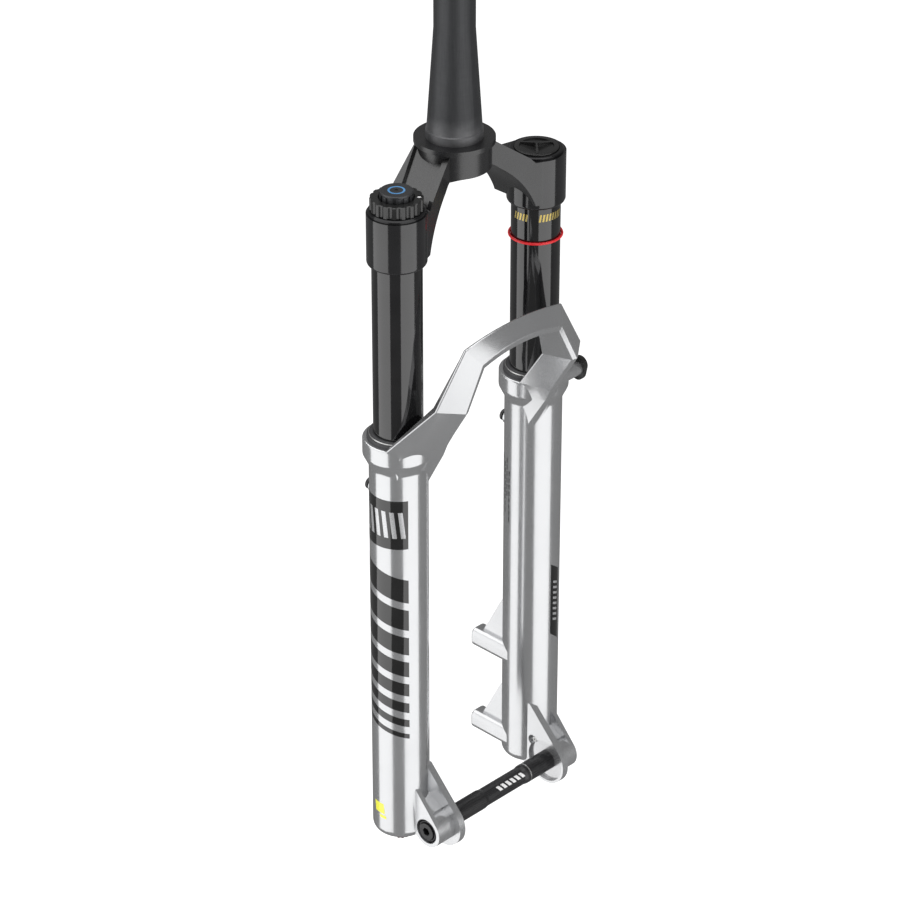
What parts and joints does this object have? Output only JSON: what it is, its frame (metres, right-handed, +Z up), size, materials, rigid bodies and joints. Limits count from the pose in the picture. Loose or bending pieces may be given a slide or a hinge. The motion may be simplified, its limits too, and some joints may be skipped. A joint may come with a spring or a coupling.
{
  "type": "suspension fork",
  "caption": "Telescopic bicycle suspension fork with tapered steerer, forged crown, sliding stanchions, arched lower casting, brake posts and thru axle.",
  "frame": {"origin": "centre of the steerer at the lower headset race seat on top of the crown", "axes": "+X forward in the direction of travel, +Y towards the rider's left, +Z up along the steerer"},
  "size_m": [0.0952, 0.1902, 0.8039],
  "materials": {
    "steerer_alloy": "dark satin anodised, brushed at the race seat",
    "crown_black": "satin black over forged aluminium",
    "stanchion_black": "polished black hard anodised",
    "cast_paint": "bright silver gloss paint over a cast light alloy",
    "cap_alloy": "black anodised",
    "cap_black": "fine moulded black",
    "dial_grey": "dark grey anodised, faceted edge",
    "dial_blue": "blue anodised ring",
    "dial_red": "dark red anodised",
    "seal_rubber": "matte dark grey rubber",
    "sag_red": "matte red rubber",
    "spring_steel": "bright steel",
    "foam_black": "oiled open foam",
    "bushing_bronze": "coated bronze",
    "valve_brass": "plain brass",
    "inner_alloy": "machined clear anodised",
    "inner_plastic": "moulded nylon",
    "button_black": "black moulded cap",
    "axle_black": "satin black anodised",
    "washer_alloy": "turned steel cone"
  },
  "bodies": {
    "uppers": {"steerer_tube": "steerer_alloy", "crown": "crown_black", "stanchion_left": "stanchion_black", "stanchion_right": "stanchion_black", "air_top_cap": "cap_alloy", "air_valve": "valve_brass", "valve_core": "valve_brass", "volume_spacer_1": "inner_plastic", "volume_spacer_2": "inner_plastic", "air_seal_head": "inner_alloy", "seal_head_clip_left": "spring_steel", "seal_head_clip_right": "spring_steel", "top_out_bumper": "seal_rubber", "damper_top_cap": "cap_alloy", "damper_tube": "inner_alloy", "base_valve": "inner_alloy", "floater_spring": "spring_steel", "damper_seal_head": "inner_alloy"},
    "lowers": {"lower_casting": "cast_paint", "wiper_seal_left": "seal_rubber", "wiper_seal_right": "seal_rubber", "wiper_spring_left": "spring_steel", "wiper_spring_right": "spring_steel", "foam_ring_left": "foam_black", "foam_ring_right": "foam_black", "upper_bushing_left": "bushing_bronze", "upper_bushing_right": "bushing_bronze", "lower_bushing_left": "bushing_bronze", "lower_bushing_right": "bushing_bronze", "air_shaft": "inner_alloy", "air_piston": "inner_alloy", "air_piston_seal": "seal_rubber", "bottom_out_bumper": "seal_rubber", "damper_shaft": "inner_alloy", "damper_piston": "inner_alloy", "piston_ring": "inner_plastic", "foot_bolt_left": "spring_steel", "foot_bolt_right": "spring_steel", "crush_washers": "inner_alloy", "relief_seat_left": "inner_alloy", "relief_seat_right": "inner_alloy", "hose_guide": "cap_black", "hose_guide_screw": "spring_steel"},
    "sag_ring": {"sag_ring": "sag_red"},
    "floating_piston": {"floating_piston": "inner_alloy"},
    "compression_dial": {"compression_dial": "cap_black"},
    "climb_dial": {"climb_dial": "dial_grey", "dial_inlay": "dial_blue"},
    "rebound_dial": {"rebound_dial": "dial_red"},
    "air_cap_seal": {"air_cap_seal": "seal_rubber"},
    "air_cap": {"air_cap": "cap_black"},
    "relief_button_left": {"relief_button_left": "button_black"},
    "relief_button_right": {"relief_button_right": "button_black"},
    "axle_washer": {"axle_washer": "washer_alloy"},
    "axle": {"axle": "axle_black"}
  },
  "joints": [
    {"name": "fork_travel", "type": "slide", "parent": "uppers", "child": "lowers", "axis": [0, 0, 1], "range_m": [0, 0.12], "stiffness_N_per_m": 6000},
    {"name": "sag_ring_slide", "type": "slide", "parent": "uppers", "child": "sag_ring", "axis": [0, 0, 1], "range_m": [0, 0.0211]},
    {"name": "floating_piston_slide", "type": "slide", "parent": "uppers", "child": "floating_piston", "axis": [0, 0, 1], "range_m": [0, 0.0287], "deforming": ["floater_spring"]},
    {"name": "compression_turn", "type": "hinge", "parent": "uppers", "child": "compression_dial", "pos_m": [0.0126, -0.0685, -0.03], "axis": [0, 0, 1], "range_deg": [-60, 60]},
    {"name": "climb_turn", "type": "hinge", "parent": "uppers", "child": "climb_dial", "pos_m": [0.0126, -0.0685, -0.02], "axis": [0, 0, 1], "range_deg": [-150, 150]},
    {"name": "rebound_turn", "type": "hinge", "parent": "lowers", "child": "rebound_dial", "pos_m": [0.0126, -0.0685, -0.54], "axis": [0, 0, 1], "range_deg": [-225, 225]},
    {"name": "air_cap_lift", "type": "slide", "parent": "uppers", "child": "air_cap_seal", "axis": [0, 0, 1], "range_m": [0, 0.03]},
    {"name": "air_cap_turn", "type": "hinge", "parent": "air_cap_seal", "child": "air_cap", "pos_m": [0.0126, 0.0685, -0.03], "axis": [0, 0, 1], "continuous": true},
    {"name": "relief_press_left", "type": "slide", "parent": "lowers", "child": "relief_button_left", "axis": [1, 0, 0], "range_m": [0, 0.0012], "stiffness_N_per_m": 600},
    {"name": "relief_press_right", "type": "slide", "parent": "lowers", "child": "relief_button_right", "axis": [1, 0, 0], "range_m": [0, 0.0012], "stiffness_N_per_m": 600},
    {"name": "axle_withdraw", "type": "slide", "parent": "lowers", "child": "axle_washer", "axis": [0, -1, 0], "range_m": [0, 0.16]},
    {"name": "axle_turn", "type": "hinge", "parent": "axle_washer", "child": "axle", "pos_m": [0.044, 0, -0.5195], "axis": [0, 1, 0], "continuous": true}
  ],
  "couplings": [
    {"joint": "sag_ring_slide", "follows": "fork_travel", "ratio": 0.175},
    {"joint": "floating_piston_slide", "follows": "fork_travel", "ratio": 0.238}
  ]
}
